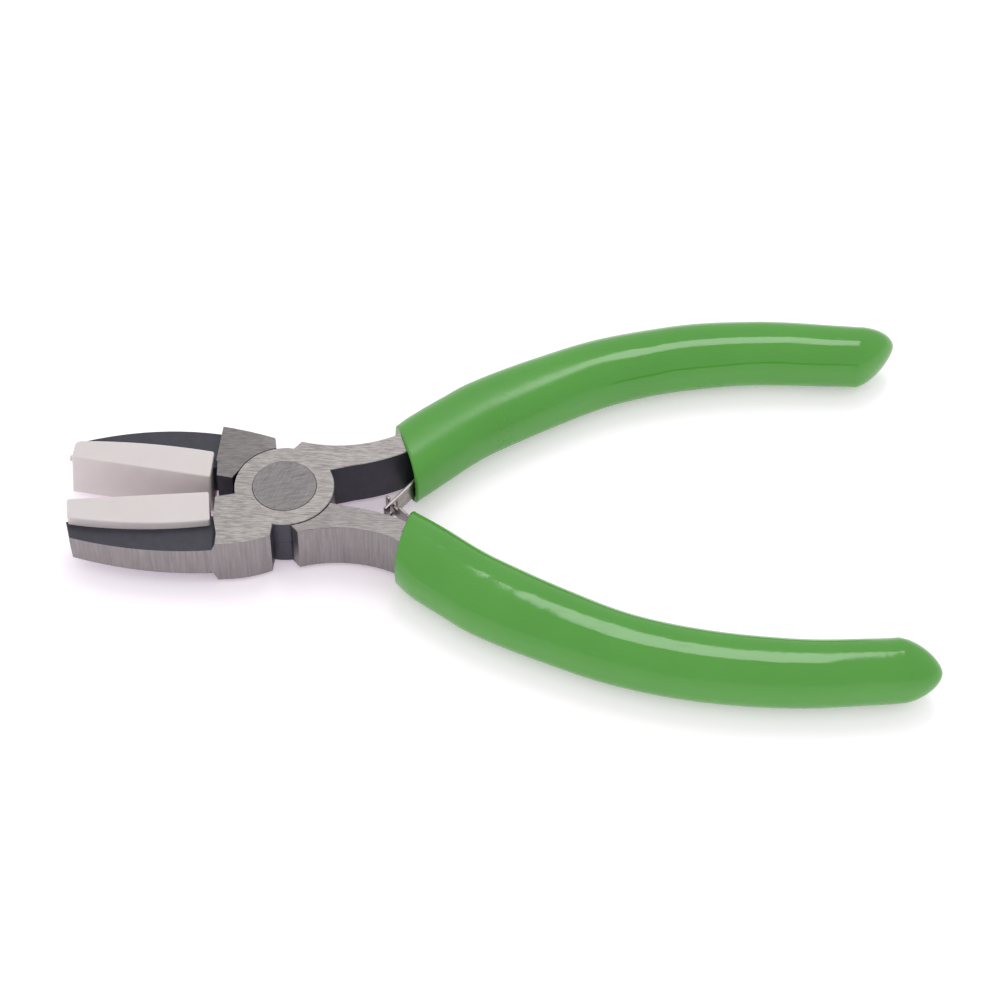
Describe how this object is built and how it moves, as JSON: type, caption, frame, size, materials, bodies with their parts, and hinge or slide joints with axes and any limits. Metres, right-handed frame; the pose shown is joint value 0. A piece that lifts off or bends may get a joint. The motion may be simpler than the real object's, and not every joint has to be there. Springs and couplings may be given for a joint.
{
  "type": "nylon jaw pliers",
  "caption": "Flat-nose lap-joint pliers with nylon jaw pads, a flush rivet, dipped handle grips and a double leaf spring that holds them open.",
  "frame": {"origin": "on the pivot axis, at the ground underside of the joint", "axes": "+X towards the handle ends, +Y towards the handle of lever A, +Z along the pivot axis, up off the surface the tool lies on"},
  "size_m": [0.1287, 0.0724, 0.01],
  "materials": {
    "ground_steel": "ground faces, black oxide in the recesses",
    "rivet_steel": "ground flush",
    "nylon": "moulded, off-white",
    "green_pvc": "dipped, glossy",
    "spring_steel": "bright strip"
  },
  "bodies": {
    "lever_a_body": {"lever_a": "ground_steel", "pivot_rivet": "rivet_steel", "nylon_pad_a": "nylon", "grip_a": "green_pvc", "spring_root_a": "spring_steel", "spring_rivet_a": "spring_steel"},
    "lever_b_body": {"lever_b": "ground_steel", "nylon_pad_b": "nylon", "grip_b": "green_pvc", "spring_root_b": "spring_steel", "spring_rivet_b": "spring_steel"},
    "leaf_a_body": {"spring_leaf_a": "spring_steel"},
    "leaf_b_body": {"spring_leaf_b": "spring_steel"}
  },
  "joints": [
    {"name": "pivot", "type": "hinge", "parent": "lever_a_body", "child": "lever_b_body", "pos_m": [0, 0, 0.00425], "axis": [0, 0, -1], "range_deg": [-14.3, 2.5], "stiffness_Nm_per_rad": 1.2},
    {"name": "leaf_a_flex", "type": "hinge", "parent": "lever_a_body", "child": "leaf_a_body", "pos_m": [0.02451, 0.0096, 0.00425], "axis": [0, 0, 1], "range_deg": [-10.8, 2]},
    {"name": "leaf_b_flex", "type": "hinge", "parent": "lever_b_body", "child": "leaf_b_body", "pos_m": [0.0242, -0.01059, 0.00425], "axis": [0, 0, -1], "range_deg": [-12.6, 2.3]}
  ],
  "couplings": [
    {"joint": "leaf_a_flex", "follows": "pivot", "ratio": 0.73},
    {"joint": "leaf_b_flex", "follows": "pivot", "ratio": 0.86}
  ]
}
